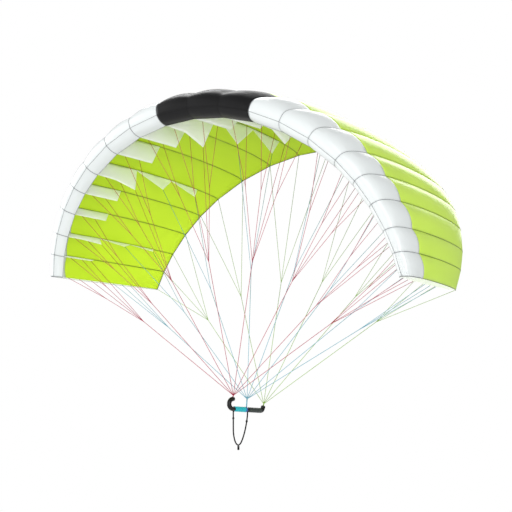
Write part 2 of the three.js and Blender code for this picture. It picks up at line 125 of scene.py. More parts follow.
def add_piece(name, points, faces, caps=(), uv=None, uv_faces=None, marks=None):
    """Mesh object from points and faces. uv holds a pair for each point of uv_faces, in metres, and
    marks holds named numbers, one for each point."""
    mesh = bpy.data.meshes.new(name)
    mesh.from_pydata(points.reshape(-1, 3).tolist(), [], faces.tolist() + [list(cap) for cap in caps])
    if uv is not None:
        picked = uv.reshape(-1, 2)[uv_faces.ravel()]
        spare = np.zeros((len(mesh.loops) - len(picked), 2))
        mesh.uv_layers.new(name="surface").uv.foreach_set("vector", np.concatenate([picked, spare]).ravel())
    for mark, numbers in (marks or {}).items():
        mesh.attributes.new(mark, "FLOAT", "POINT").data.foreach_set("value", numbers.ravel())
    mesh.polygons.foreach_set("use_smooth", np.ones(len(mesh.polygons), bool))
    piece = bpy.data.objects.new(name, mesh)
    bpy.context.collection.objects.link(piece)
    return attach(piece, "root")


def add_tube(name, path, radius, sides, across=SPANWISE):
    """Closed tube along a path, with UV in metres: along the path, then round it."""
    points = tube_points(path, radius, sides, across)
    rows = len(path)
    quads, flat = grid_faces(rows, sides, wrap=True)
    girth = radius * np.linspace(0, 2 * np.pi, sides + 1)
    uv = np.stack(np.broadcast_arrays(distance_along(path)[:, None], girth[None, :]), -1)
    last = (rows - 1) * sides
    caps = (range(sides - 1, -1, -1), range(last, last + sides))
    return add_piece(name, points, quads, caps, uv, flat)


def srgb(red, green, blue):
    """Linear colour of a display colour from 0 to 255, by the sRGB curve ((c + 0.055) / 1.055)^2.4."""
    shares = np.array([red, green, blue]) / 255
    return (*np.where(shares > 0.04, ((shares + 0.055) / 1.055) ** 2.4, shares / 12.92), 1.0)


class Value:
    """A number that varies over a surface: an output socket. Arithmetic on it adds Math nodes."""

    def __init__(self, wiring, socket):
        self.wiring = wiring
        self.socket = socket

    def maths(self, operation, first, second=0.0):
        return self.wiring.node("ShaderNodeMath", {"operation": operation}, {0: first, 1: second})

    def output(self, which):
        """Another output of the same node."""
        return Value(self.wiring, self.socket.node.outputs[which])

    def __add__(self, other):
        return self.maths("ADD", self, other)

    def __sub__(self, other):
        return self.maths("SUBTRACT", self, other)

    def __rsub__(self, other):
        return self.maths("SUBTRACT", other, self)

    def __mul__(self, other):
        return self.maths("MULTIPLY", self, other)

    def __truediv__(self, other):
        return self.maths("DIVIDE", self, other)

    def __rtruediv__(self, other):
        return self.maths("DIVIDE", other, self)

    def __gt__(self, other):
        return self.maths("GREATER_THAN", self, other)

    def __lt__(self, other):
        return self.maths("LESS_THAN", self, other)

    def __abs__(self):
        return self.maths("ABSOLUTE", self)

    def fraction(self):
        return self.maths("FRACT", self)

    def sine(self):
        return self.maths("SINE", self)

    __radd__ = __add__
    __rmul__ = __mul__


class Wiring:
    """The nodes of a material or of the studio's surroundings, joined as they are made."""

    def __init__(self, tree):
        self.tree = tree

    def feed(self, socket, value):
        """Links a varying value to a socket, or sets the socket to a constant."""
        if isinstance(value, Value):
            self.tree.links.new(value.socket, socket)
        else:
            socket.default_value = value

    def node(self, kind, settings=None, inputs=None, output=0):
        """Adds a node of a kind: its settings first, then its sockets, and returns one of its outputs."""
        node = self.tree.nodes.new(kind)
        for name, value in (settings or {}).items():
            setattr(node, name, value)
        for name, value in (inputs or {}).items():
            self.feed(node.inputs[name], value)
        return Value(self, node.outputs[output])


class Finish(Wiring):
    """A material in the making: a Principled shader on the output and ways to add nodes in front of it."""

    def __init__(self, name, constants):
        self.material = bpy.data.materials.new(name)
        self.material.use_nodes = True
        super().__init__(self.material.node_tree)
        self.shader = self.tree.nodes["Principled BSDF"]
        self.set(constants)

    def set(self, inputs):
        """Feeds the shader's own sockets by name."""
        for name, value in inputs.items():
            self.feed(self.shader.inputs[name], value)

    def place(self):
        """The point of the object that is shaded, in metres."""
        return self.node("ShaderNodeTexCoord", output="Object")

    def noise(self, scale, detail=3.0):
        """Smooth noise from 0 to 1, with about so many humps to the metre."""
        facts = {"Vector": self.place(), "Scale": scale, "Detail": detail}
        return self.node("ShaderNodeTexNoise", {}, facts)

    def uv_axes(self):
        """The two distances of the surface's own UV map, in metres."""
        surface = self.node("ShaderNodeUVMap", {"uv_map": "surface"})
        split = self.node("ShaderNodeSeparateXYZ", {}, {0: surface})
        return split, split.output(1)

    def mix(self, share, first, second):
        """Colour that goes from the first to the second as the share goes from 0 to 1."""
        return self.node("ShaderNodeMix", {"data_type": "RGBA"}, {0: share, 6: first, 7: second}, output=2)

    def bump(self, height, strength, depth):
        """Raises the surface by the height, as a bump of so many metres."""
        facts = {"Height": height, "Strength": strength, "Distance": depth}
        self.set({"Normal": self.node("ShaderNodeBump", {}, facts)})

    def on(self, piece, inner=None):
        """Puts the finish on a piece, with another for the inner face of a cloth if one is given."""
        piece.data.materials.clear()
        piece.data.materials.append(self.material)
        if inner:
            piece.data.materials.append(inner.material)
        return piece


CORD_BLACK, CORD_GAP = srgb(14, 14, 15), srgb(4, 4, 5)
CORD_DULL = {"Roughness": 0.7, "Specular IOR Level": 0.2}
BRAID_PITCH = 0.006
BRAID_STRANDS = 4  # of each set, round the cord
BRAID_RELIEF = (0.5, 0.0004)  # strength of the bump, and its depth


def braid_finish(name, colour, gap_colour, girth):
    """Braided sheath: two sets of strands wind round the cord, each a wave of along / pitch plus or minus
    strands around / girth, and the size of their product gives the height and the colour."""
    finish = Finish(name, CORD_DULL)
    along, around = finish.uv_axes()
    turn = around * (2 * np.pi * BRAID_STRANDS / girth)
    climb = along * (2 * np.pi / BRAID_PITCH)
    strands = abs((climb + turn).sine() * (climb - turn).sine())
    finish.set({"Base Color": finish.mix(strands, gap_colour, colour)})
    finish.bump(strands, *BRAID_RELIEF)
    return finish


cord_finish = braid_finish("braided_black_cord", CORD_BLACK, CORD_GAP, np.pi * CORD_DIAMETER)
cord_path = smooth_route(upright(CORD_ROUTE_MM), CORD_STEPS)
harness_loop = cord_finish.on(add_tube("harness_cord", cord_path, CORD_DIAMETER / 2, CORD_SIDES))
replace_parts(harness_loop, "harness_loop")

# Stoppers and tail: two short rubber stoppers pushed onto the legs of the loop, and a sewn tail that
# hangs from the lowest point of the bight.
STOPPER_MM = [(4.3, -4.6), (5.4, -4.6), (6.2, -3.4), (6.4, 0), (6.2, 3.4), (5.4, 4.6), (4.3, 4.6)]
STOPPER_ALONG = {"front": 0.109, "rear": 0.859}  # share of the cord's length
TAIL_MM = [
    (0, -24), (3.7, -23.8), (5.6, -22.6), (6.2, -20.5), (6.2, -3.2), (5.5, -1.2), (3.5, -0.2), (0, 0),
]
TAIL_TOP_MM = (-22, -207.35)  # y and z
TURNED_SIDES = 32
FIRST_SPOKE = (0.3, 0.5, 0.8)  # lies along the axis of no turned piece
WELD_WITHIN = 1e-6


def turned_points(profile_mm, centre, axis, sides, ring):
    """Surface of revolution: centre + radius (cos a side + sin a front) + height axis, for each radius
    and height of the profile. A ring's profile closes on itself."""
    profile = np.asarray(profile_mm, float) / 1000
    if ring:
        profile = np.concatenate([profile, profile[:1]])
    axis = unit(np.asarray(axis, float))
    side = unit(np.cross(FIRST_SPOKE, axis))
    front = np.cross(axis, side)
    angle = np.linspace(0, 2 * np.pi, sides, endpoint=False)
    spoke = np.cos(angle)[:, None] * side + np.sin(angle)[:, None] * front
    return centre + profile[:, 0, None, None] * spoke + profile[:, 1, None, None] * axis


def add_turned(name, profile_mm, centre, axis, sides=TURNED_SIDES, ring=False):
    """Turned piece, with UV in metres: along the profile, then round it."""
    points = turned_points(profile_mm, centre, axis, sides, ring)
    quads, flat = grid_faces(len(points), sides, wrap=True)
    girth = np.linspace(0, 2 * np.pi, sides + 1) * np.max(profile_mm, axis=0)[0] / 1000
    uv = np.stack(np.broadcast_arrays(distance_along(points[:, 0])[:, None], girth[None, :]), -1)
    piece = add_piece(name, points, quads, (), uv, flat)
    weld = piece.modifiers.new("weld", "WELD")
    weld.merge_threshold = WELD_WITHIN
    return piece


def grained_finish(name, first, second, grains, relief, constants, detail=3.0):
    """Stuff with a fine grain: noise of so many grains to the metre goes from the first tone to the second
    and raises the surface. Relief is the strength of the bump and its depth."""
    finish = Finish(name, constants)
    grain = finish.noise(grains, detail)
    finish.set({"Base Color": finish.mix(grain, first, second)})
    finish.bump(grain, *relief)
    return finish


RUBBER_BLACKS = srgb(8, 8, 9), srgb(16, 16, 17)
RUBBER_GRAINS, RUBBER_RELIEF = 900.0, (0.25, 0.0003)
RUBBER_DULL = {"Roughness": 0.62, "Specular IOR Level": 0.2}
rubber_finish = grained_finish("black_rubber", *RUBBER_BLACKS, RUBBER_GRAINS, RUBBER_RELIEF, RUBBER_DULL)
cord_run = distance_along(cord_path)
for place, share in STOPPER_ALONG.items():
    at = np.searchsorted(cord_run, share * cord_run[-1])
    axis = cord_path[at + 1] - cord_path[at - 1]
    stopper = add_turned(f"stopper_{place}", STOPPER_MM, cord_path[at], axis, ring=True)
    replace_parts(rubber_finish.on(stopper), f"harness_stopper_{place}")
tail = add_turned("loop_tail", TAIL_MM, upright([TAIL_TOP_MM])[0], (0, 0, 1))
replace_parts(cord_finish.on(tail), "harness_tail")

# Control bar: a bent tube, black and satin, with a hook in front for the front lines and a short
# upturned end behind for the rear ones. Its straight part falls a little towards the rear.
BAR_RADIUS = 0.0128
BAR_SLOPE = np.radians(-4.4)
BAR_SIDES = 32
HOOK_START, HOOK_DEPTH, HOOK_HEIGHT = -0.076, 0.037, 0.056
BEND_START, BEND_RADIUS, BEND_TURN, STUB = 0.1984, 0.016, np.radians(65), 0.015
STRAIGHT_RINGS, HOOK_RINGS, BEND_RINGS, STUB_RINGS = 60, 48, 16, 10
BAR_BLACKS = srgb(10, 10, 11), srgb(18, 19, 19)
BAR_GRAINS, BAR_RELIEF = 420.0, (0.15, 0.0002)
BAR_SHEEN = {"Specular IOR Level": 0.25}
SATIN, SMUDGE, SMUDGE_SCALE = 0.34, 0.16, 60.0  # least roughness, what smudges add, and their noise


def tilted(points):
    """Points of the bar's own frame, turned about X by the slope of the bar."""
    across, front, up = np.moveaxis(np.asarray(points, float), -1, 0)
    cos, sin = np.cos(BAR_SLOPE), np.sin(BAR_SLOPE)
    return np.stack([across, front * cos - up * sin, front * sin + up * cos], -1)


def bar_path():
    """Axis of the bar from its rear end: a straight stub, an arc, the straight part, and half an ellipse
    start - depth sin a, height (1 - cos a) / 2 for the hook."""
    stub = np.linspace(STUB, 0, STUB_RINGS, endpoint=False)
    bend = np.linspace(BEND_TURN, 0, BEND_RINGS, endpoint=False)
    straight = np.linspace(BEND_START, HOOK_START, STRAIGHT_RINGS, endpoint=False)
    hook = np.linspace(0, np.pi, HOOK_RINGS)
    stub_y = BEND_START + BEND_RADIUS * np.sin(BEND_TURN) + stub * np.cos(BEND_TURN)
    stub_z = BEND_RADIUS * (1 - np.cos(BEND_TURN)) + stub * np.sin(BEND_TURN)
    bend_y = BEND_START + BEND_RADIUS * np.sin(bend)
    bend_z = BEND_RADIUS * (1 - np.cos(bend))
    y = np.concatenate([stub_y, bend_y, straight, HOOK_START - HOOK_DEPTH * np.sin(hook)])
    z = np.concatenate([stub_z, bend_z, np.zeros_like(straight), HOOK_HEIGHT * (1 - np.cos(hook)) / 2])
    return tilted(np.stack([np.zeros_like(y), y, z], -1))


bar_finish = grained_finish("satin_black_tube", *BAR_BLACKS, BAR_GRAINS, BAR_RELIEF, BAR_SHEEN)
bar_finish.set({"Roughness": bar_finish.noise(SMUDGE_SCALE) * SMUDGE + SATIN})
bar_axis = bar_path()
bar = bar_finish.on(add_tube("bar_tube", bar_axis, BAR_RADIUS, BAR_SIDES))
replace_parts(bar, "bar")

# Bar plugs: low domed caps of the same black rubber as the stoppers, one pressed into each end of the
# tube to close it.
PLUG_MM = [
    (0, 0), (11.7, 0), (12.0, 0.4), (12.0, 1.4), (11.4, 2.6), (9.7, 3.8), (6.7, 4.6), (3.2, 4.9), (0, 5),
]
PLUG_GAP = 0.00035
for place, end, before in (("rear", 0, 1), ("front", -1, -2)):
    out_of_end = unit(bar_axis[end] - bar_axis[before])
    plug = add_turned(f"plug_{place}", PLUG_MM, bar_axis[end] + out_of_end * PLUG_GAP, out_of_end)
    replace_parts(rubber_finish.on(plug), f"bar_plug_{place}")

# Hand grip: a teal foam sleeve slid over the middle of the bar, with fine rings moulded round it
# and a smooth collar at each end.
GRIP_MIDDLE = -0.013
GRIP_HALF, GRIP_BORE, GRIP_OUT, GRIP_COLLAR = 51.5, 13.1, 14.8, 15.1  # millimetres
COLLAR_WIDTH, COLLAR_EDGE, COLLAR_ROUND, RING_DEPTH = 5.0, 0.8, 0.9, 0.35  # millimetres
GRIP_RINGS, RING_STEPS, GRIP_SIDES = 26, 6, 48
GRIP_TEALS = srgb(20, 128, 140), srgb(48, 180, 190)
GRIP_CELLS = 1400.0
GRIP_DULL = {"Roughness": 0.72, "Specular IOR Level": 0.2}
FOAM_RELIEF, FOAM_DETAIL = (0.3, 0.0003), 2.0


def grip_profile():
    """Half section of the sleeve in millimetres: bore, rounded collar, a wavy outside whose radius is
    out - depth (1 - cos a) / 2 over the rings, and the other collar."""
    run = np.linspace(COLLAR_WIDTH - GRIP_HALF, GRIP_HALF - COLLAR_WIDTH, GRIP_RINGS * RING_STEPS + 1)
    wave = np.linspace(0, 2 * np.pi * GRIP_RINGS, len(run))
    wavy = np.stack([GRIP_OUT - RING_DEPTH * (1 - np.cos(wave)) / 2, run], -1)
    collar = np.array([
        (GRIP_BORE, -GRIP_HALF),
        (GRIP_COLLAR - COLLAR_EDGE, -GRIP_HALF),
        (GRIP_COLLAR, COLLAR_ROUND - GRIP_HALF),
        (GRIP_COLLAR, COLLAR_WIDTH - GRIP_HALF - COLLAR_EDGE),
    ])
    return np.concatenate([collar, wavy, collar[::-1] * (1, -1)])


grip_finish = grained_finish("teal_foam", *GRIP_TEALS, GRIP_CELLS, FOAM_RELIEF, GRIP_DULL, FOAM_DETAIL)
bar_direction = tilted([(0.0, 1.0, 0.0)])[0]
grip_centre = bar_direction * GRIP_MIDDLE
grip = add_turned("foam_grip", grip_profile(), grip_centre, bar_direction, GRIP_SIDES, ring=True)
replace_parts(grip_finish.on(grip), "grip")

# Rear sleeve: a black foam sleeve slid over the straight part of the bar behind the grip. It is plain,
# with its two ends rounded over.
SLEEVE_MIDDLE = 0.133
SLEEVE_MM = [
    (13.1, -61), (13.7, -61), (14.1, -60.6), (14.3, -60), (14.35, -30), (14.35, 0), (14.35, 30), (14.3, 60),
    (14.1, 60.6), (13.7, 61), (13.1, 61),
]
SLEEVE_BLACKS = srgb(38, 43, 42), srgb(58, 64, 62)
SLEEVE_CELLS = 1200.0
SLEEVE_DULL = {"Roughness": 0.6, "Specular IOR Level": 0.2}
sleeve_finish = grained_finish(
    "black_foam", *SLEEVE_BLACKS, SLEEVE_CELLS, FOAM_RELIEF, SLEEVE_DULL, FOAM_DETAIL,
)
sleeve_centre = bar_direction * SLEEVE_MIDDLE
sleeve = add_turned("foam_sleeve", SLEEVE_MM, sleeve_centre, bar_direction, GRIP_SIDES, ring=True)
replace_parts(sleeve_finish.on(sleeve), "bar_sleeve")

# Ribs: white see-through ripstop cut flat and stood on edge under the seams of the skin. Tip ribs run
# the whole chord, loaded ribs have three flares that carry lines, and the others are short strips.
RIBS = 20
CELL_WIDTHS = [1.0] + [0.99] * 3 + [0.786] * 3 + [0.672] * 2  # of a half wing, from the middle
LEAD = dict(
    half_width=1.232, height=1.101, base_z=0.6084, tip_angle=82.2, root_y=-0.374, sweep=0.171, power=2.0,
)
TRAIL = dict(
    half_width=1.067, height=0.824, base_z=0.7054, tip_angle=91.9, root_y=1.050, sweep=-0.456, power=1.72,
)
SPAN_NUDGE = 0.02
CAMBER_RISE, CAMBER_FRONT, CAMBER_REAR = 0.14, 0.25, 0.62
NOSE_SEAM_T, NOSE_SEAM_N, NOSE_BELLY = 0.055, -0.035, 0.006  # parts of the chord, as those below
BAND_END = 0.18
LOADED_RIBS = (2, 5, 8)  # from the tip
STRIP_REAR, STRIP_EDGE = 0.42, [(0.30, -0.037)]
LOADED_REAR, FLARE_ROOT, FLARE_JOINS = 0.86, 0.006, (0.42, 0.673)
SHOULDER, FLARE_TIPS = (0.183, -0.042), [(0.295, -0.085), (0.545, -0.028), (0.795, -0.026)]
TIP_DEPTH, TIP_POWER, TIP_END = 0.045, 0.75, 0.004
TIP_STATIONS = (0.15, 0.3, 0.45, 0.6, 0.75, 0.9)
RIB_INSET, RIB_CLOTH = 0.00135, 0.0007
NOSE_INSETS, START_INSETS = (0.6, 0.9), 4  # in insets: the nose line's shift, and where the rows begin
LEAST_DEPTH = 1e-4
RIB_ROWS, RIB_COLUMNS, ROW_POWER = 110, 9, 1.5
UPPER_SAMPLES, NOSE_SAMPLES = 400, 40


def edge_point(edge, s):
    """Point of the leading or trailing edge at span station s, from -1 at the left tip to 1 at the right:
    width sin(angle s), root + sweep |s|^power, base + height cos(angle s)."""
    angle = np.radians(edge["tip_angle"]) * s
    x = edge["half_width"] * np.sin(angle)
    y = edge["root_y"] + edge["sweep"] * np.abs(s) ** edge["power"]
    z = edge["base_z"] + edge["height"] * np.cos(angle)
    return np.stack([x, y, z], -1)


def mid_chord(s):
    """Point half-way between the two edges at span station s."""
    return (edge_point(LEAD, s) + edge_point(TRAIL, s)) / 2


half_reach = CELL_WIDTHS[0] / 2 + np.concatenate([[0], np.cumsum(CELL_WIDTHS)])
stations = np.concatenate([-half_reach[::-1], half_reach]) / half_reach[-1]
rib_lead = edge_point(LEAD, stations)
rib_reach = edge_point(TRAIL, stations) - rib_lead
rib_chord = np.linalg.norm(rib_reach, axis=-1)
rib_back = unit(rib_reach)
rib_up = unit(np.cross(mid_chord(stations + SPAN_NUDGE) - mid_chord(stations - SPAN_NUDGE), rib_back))
rib_side = np.cross(rib_back, rib_up)


def camber(t):
    """Height of the skin over the chord, in parts of it: rise t^front (1 - t)^rear."""
    return CAMBER_RISE * t**CAMBER_FRONT * np.clip(1 - t, 0, 1) ** CAMBER_REAR


def nose_profile(w):
    """Nose section in parts of the chord. From w = -1 at the inner seam to 0 at the leading edge it is a
    line with a little belly, and from 0 to 1 at the rear of the band it is the camber at t = end w^2."""
    share = np.clip(-w, 0, 1)
    belly = NOSE_BELLY * np.sin(np.pi * share)
    above = BAND_END * np.clip(w, 0, 1) ** 2
    t = np.where(w < 0, NOSE_SEAM_T * share - belly, above)
    return t, np.where(w < 0, NOSE_SEAM_N * share - belly, camber(above))


def outward(t, n):
    """Unit normal of a profile that runs from the nose seam to the trailing edge, on its outer side."""
    tangent = unit(np.stack([np.gradient(t), np.gradient(n)], -1))
    return -tangent[:, 1], tangent[:, 0]


def rib_edges(from_tip):
    """Rear end of a rib and the corners of its free edge, in parts of the chord. A tip rib's edge is the
    arc -depth sin(pi t^power), and a loaded rib's goes from flare to flare, up to the skin between them."""
    if from_tip == 0:
        t = np.array(TIP_STATIONS)
        lower = np.stack([t, -TIP_DEPTH * np.sin(np.pi * t**TIP_POWER)], -1).tolist()
        return 1.0, lower + [(1.0, -TIP_END)]
    if from_tip in LOADED_RIBS:
        joins = [(t, camber(t) - FLARE_ROOT) for t in FLARE_JOINS]
        return LOADED_REAR, [SHOULDER, FLARE_TIPS[0], joins[0], FLARE_TIPS[1], joins[1], FLARE_TIPS[2]]
    return STRIP_REAR, STRIP_EDGE


def rib_outline(index):
    """Upper and lower edge of a rib as heights over one run of chord stations, in parts of the chord. The
    upper edge is the camber moved in by the inset, and the lower one the nose line and the free edge."""
    rear, corners = rib_edges(min(index, RIBS - 1 - index))
    inset = RIB_INSET / rib_chord[index]
    upper_t = rear * np.linspace(0, 1, UPPER_SAMPLES) ** 2
    upper_n = camber(upper_t)
    normal_t, normal_n = outward(upper_t, upper_n)
    nose = np.stack(nose_profile(np.linspace(0, -1, NOSE_SAMPLES)), -1) + inset * np.array(NOSE_INSETS)
    edge = np.concatenate([nose, corners])
    start = nose[:, 0].min() + START_INSETS * inset
    breaks = [t for t, n in corners] + [NOSE_SEAM_T, rear]
    even = start + (rear - start) * np.linspace(0, 1, RIB_ROWS - len(breaks)) ** ROW_POWER
    t = np.clip(np.sort(np.concatenate([even, breaks])), start, rear)
    order = np.argsort(edge[:, 0], kind="stable")
    top = np.interp(t, upper_t - normal_t * inset, upper_n - normal_n * inset)
    low = np.interp(t, edge[order, 0], edge[order, 1])
    last_t, last_n = edge[-1]
    if last_t < rear:
        closing = np.clip((t - last_t) / (rear - last_t), 0, 1)
        low = np.where(t > last_t, last_n + closing * (top[-1] - last_n), low)
    return t, top, np.minimum(low, top - LEAST_DEPTH)


def on_rib(index, t, n):
    """Points of a rib's plane from chord stations t and heights n, in parts of its chord."""
    chord = rib_chord[index]
    t, n = np.asarray(t)[..., None], np.asarray(n)[..., None]
    return rib_lead[index] + chord * (t * rib_back[index] + n * rib_up[index])


def sheet_area(points):
    """Area of a grid of points, as the sum of its quads' crossed diagonals halved."""
    first = points[1:, 1:] - points[:-1, :-1]
    second = points[1:, :-1] - points[:-1, 1:]
    return float(np.linalg.norm(np.cross(first, second), axis=-1).sum() / 2)


def add_sheet(name, points, thickness, seam):
    """Cloth over a grid of points, rows along the chord and columns along the span, given its thickness
    to both sides. UV is in metres along the columns and rows, and seam is each point's way to a seam."""
    rows, columns = points.shape[:2]
    across = np.swapaxes(distance_along(np.swapaxes(points, 0, 1)), 0, 1)
    uv = np.stack([across - across[:, -1:] / 2, distance_along(points)], -1)
    quads, flat = grid_faces(rows, columns)
    piece = add_piece(name, points, quads, (), uv, flat, {"seam": seam})
    solid = piece.modifiers.new("thickness", "SOLIDIFY")
    solid.thickness = thickness
    solid.offset = 0.0
    solid.material_offset = 1
    return piece


def declare_sheet(points, rests_on):
    """Works out the cut of a stretched cloth, its widest and longest run over the grid and its area, and
    keeps none of it.
    """
    width = float(distance_along(np.swapaxes(points, 0, 1))[-1].max())
    length = float(distance_along(points)[-1].max())
    area = min(sheet_area(points), width * length)


RIPSTOP_PITCH, RIPSTOP_LINE = 0.006, 0.43  # a thick thread lies this far from the middle of a square
SEAM_ALLOWANCE = 0.009
STITCH_IN, STITCH_HALF_WIDTH, STITCH_PITCH, STITCH_SHARE = 0.005, 0.0007, 0.004, 0.62
THREAD_TINT, DOUBLED_TINT, STITCH_TINT = 0.10, 0.12, 0.5
DRIFT_SCALE, DRIFT_DETAIL = 2.2, 4.0
# Painted shade: the height where a cloth starts to darken upwards, and the rise over which it reaches its
# dark colour.
SHADE_CLIMB_FROM, SHADE_CLIMB_OVER = 0.65, 1.1
COATED = {"Coat Roughness": 0.21, "Specular IOR Level": 0.3}
UNEVEN_SCALE, UNEVEN_ROUGHNESS = 30.0, 0.12
THREAD_RISE, YARN_RISE, YARN_SCALE = 0.4, 0.25, 700.0
CLOTH_RELIEF = (0.12, 0.0003)


def cloth_finish(name, light, dark, thread, glow, through, roughness, gloss, climb=0.0):
    """Coated ripstop: a square grid of thicker threads, a slow random change from the light to the dark
    colour, darker doubled cloth and a row of stitches beside each seam. The share "climb" of that change
    follows the height instead as painted shade, darker upwards, and the share "through" of the light passes
    on as the glow colour."""
    finish = Finish(name, COATED | {"Coat Weight": gloss})
    across, along = finish.uv_axes()
    weft = abs((across / RIPSTOP_PITCH).fraction() - 0.5) > RIPSTOP_LINE
    warp = abs((along / RIPSTOP_PITCH).fraction() - 0.5) > RIPSTOP_LINE
    threads = weft + warp - weft * warp
    height = finish.node("ShaderNodeSeparateXYZ", {}, {0: finish.place()}, output="Z")
    shade_rise = (height - SHADE_CLIMB_FROM) / SHADE_CLIMB_OVER
    # Painted shade: the share "climb" of the colour follows the height, darker upwards.
    drift_and_shade = finish.noise(DRIFT_SCALE, DRIFT_DETAIL) * (1 - climb) + shade_rise * climb
    seam = finish.node("ShaderNodeAttribute", {"attribute_name": "seam"}, output="Fac")
    doubled = seam < SEAM_ALLOWANCE
    in_row = abs(seam - STITCH_IN) < STITCH_HALF_WIDTH
    stitch = in_row * ((along / STITCH_PITCH).fraction() < STITCH_SHARE)
    ground = finish.mix(drift_and_shade, light, dark)
    lined = finish.mix(threads * THREAD_TINT + doubled * DOUBLED_TINT, ground, thread)
    colour = finish.mix(stitch * STITCH_TINT, lined, thread)
    uneven = finish.noise(UNEVEN_SCALE) * UNEVEN_ROUGHNESS
    finish.set({"Base Color": colour, "Roughness": uneven + roughness})
    finish.bump(threads * THREAD_RISE + finish.noise(YARN_SCALE) * YARN_RISE, *CLOTH_RELIEF)
    passed = finish.node("ShaderNodeBsdfTranslucent", {}, {"Color": glow})
    face = Value(finish, finish.shader.outputs[0])
    cloth = finish.node("ShaderNodeMixShader", {}, {0: through, 1: face, 2: passed})
    finish.feed(finish.tree.nodes["Material Output"].inputs["Surface"], cloth)
    return finish


RIB_HEM = 0.004  # a rib's edge lies this far in from its seam
RIB_COLOURS = srgb(252, 253, 252), srgb(246, 249, 246), srgb(218, 224, 212), srgb(250, 252, 248)
rib_finish = cloth_finish("white_rib_cloth", *RIB_COLOURS, through=0.5, roughness=0.5, gloss=0.1)
for index in range(RIBS):
    t, top, low = rib_outline(index)
    down = np.linspace(0, 1, RIB_COLUMNS)
    depth = (top - low)[:, None]
    height = top[:, None] - depth * down
    rib_points = on_rib(index, np.broadcast_to(t[:, None], height.shape), height)
    edge_gap = np.minimum(down, 1 - down) * depth * rib_chord[index]
    rib = add_sheet(f"rib_cloth_{index + 1:02d}", rib_points, RIB_CLOTH, edge_gap + RIB_HEM)
    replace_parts(rib_finish.on(rib), f"rib_{index + 1:02d}")
    declare_sheet(rib_points, [f"panel_{cell:02d}" for cell in (index, index + 1) if 0 < cell < RIBS])

# Nose: three panels of heavier cloth folded round the leading edge, white on both sides and black in
# the middle. Each runs from a hem inside the nose, round the front seam, to the rear edge of the band.
SKIN_CLOTH = 0.0008
BILLOW_DEPTH, BILLOW_FRONT, BILLOW_REAR = 0.245, 0.35, 0.8
INNER_BULGE = 0.012  # of the cloth inside the nose, in parts of the cell's width
PARTING = 0.0002
NOSE_ROWS, CELL_COLUMNS = 49, 17
PUCKER_HEIGHT, PUCKER_REACH, PUCKER_WAVE, PUCKER_CLEAR = 0.0011, 0.028, 0.041, 0.008
PUCKER_BEATS = [(1.0, 0.0, 0.6), (0.63, 0.9, 0.4)]  # rate, shift for each cell, share of the height
CELL_SHIFT, SIDE_SHIFT = 1.7, 2.1  # of the puckers' phase
BLACK_FROM, BLACK_TO = LOADED_RIBS[2], RIBS - 1 - LOADED_RIBS[2]


def billow(t):
    """Depth of a cell's billow at chord station t, in parts of the cell's width:
    depth t^front (1 - t)^rear."""
    return BILLOW_DEPTH * t**BILLOW_FRONT * np.clip(1 - t, 0, 1) ** BILLOW_REAR


def skin_cell(cell, t, n, bulge, low=0.0, high=1.0):
    """Skin between two ribs: the straight way from one rib's profile to the other's, pushed out by
    bulge width 4 v (1 - v) and by small puckers, height sin(run / wave) exp(-seam / reach), which keep
    clear of the seam itself. Returns points, the distance to the nearer seam, and outward directions."""
    v = np.clip(np.linspace(0, 1, CELL_COLUMNS), low, high)[None, :, None]
    left, right = on_rib(cell, t, n)[:, None], on_rib(cell + 1, t, n)[:, None]
    normal_t, normal_n = (part[:, None, None] for part in outward(t, n))
    face = [normal_t * rib_back[k] + normal_n * rib_up[k] for k in (cell, cell + 1)]
    normal = unit(face[0] * (1 - v) + face[1] * v)
    width = np.linalg.norm(right - left, axis=-1, keepdims=True)
    seam = width * np.minimum(v, 1 - v)
    run = distance_along((left[:, 0] + right[:, 0]) / 2)[:, None, None]
    phase = 2 * np.pi * run / PUCKER_WAVE + CELL_SHIFT * cell + SIDE_SHIFT * (v > 0.5)
    pucker = sum(share * np.sin(rate * phase + shift * cell) for rate, shift, share in PUCKER_BEATS)
    fading = np.exp(-seam / PUCKER_REACH) * np.clip(seam / PUCKER_CLEAR, 0, 1)
    rise = bulge[:, None, None] * width * 4 * v * (1 - v) + PUCKER_HEIGHT * pucker * fading
    return left + (right - left) * v + rise * normal, seam[..., 0], normal


def skin_run(first, last, t, n, bulge):
    """Cells from rib first to rib last side by side, sharing their columns at the ribs between."""
    parts = []
    for cell in range(first, last):
        width = np.linalg.norm(rib_lead[cell + 1] - rib_lead[cell])
        low = PARTING / width if cell == first else 0.0
        high = 1 - PARTING / width if cell == last - 1 else 1.0
        made = skin_cell(cell, t, n, bulge, low, high)
        parts.append([part if cell == first else part[:, 1:] for part in made])
    return [np.concatenate(piece, axis=1) for piece in zip(*parts)]


WHITE_COLOURS = srgb(204, 208, 208), srgb(198, 203, 203), srgb(170, 174, 176), srgb(250, 250, 250)
BLACK_COLOURS = srgb(19, 19, 20), srgb(14, 14, 15), srgb(8, 8, 9), srgb(40, 40, 40)
BLACK_SHEEN = {"Specular IOR Level": 0.08, "Sheen Weight": 0.06, "Sheen Roughness": 0.4}
white_finish = cloth_finish("white_nose_cloth", *WHITE_COLOURS, through=0.12, roughness=0.42, gloss=0.6)
black_finish = cloth_finish("black_nose_cloth", *BLACK_COLOURS, through=0.02, roughness=0.5, gloss=0.1)
black_finish.set(BLACK_SHEEN)
nose_w = np.linspace(-1, 1, NOSE_ROWS)
nose_t, nose_n = nose_profile(nose_w)
nose_bulge = np.where(nose_w > 0, billow(nose_t), INNER_BULGE * np.sin(np.pi * np.clip(-nose_w, 0, 1)))
NOSES = [
    ("nose_white_left", 0, BLACK_FROM, white_finish, "white_cloth"),
    ("nose_black_centre", BLACK_FROM, BLACK_TO, black_finish, "black_cloth"),
    ("nose_white_right", BLACK_TO, RIBS - 1, white_finish, "white_cloth"),
]
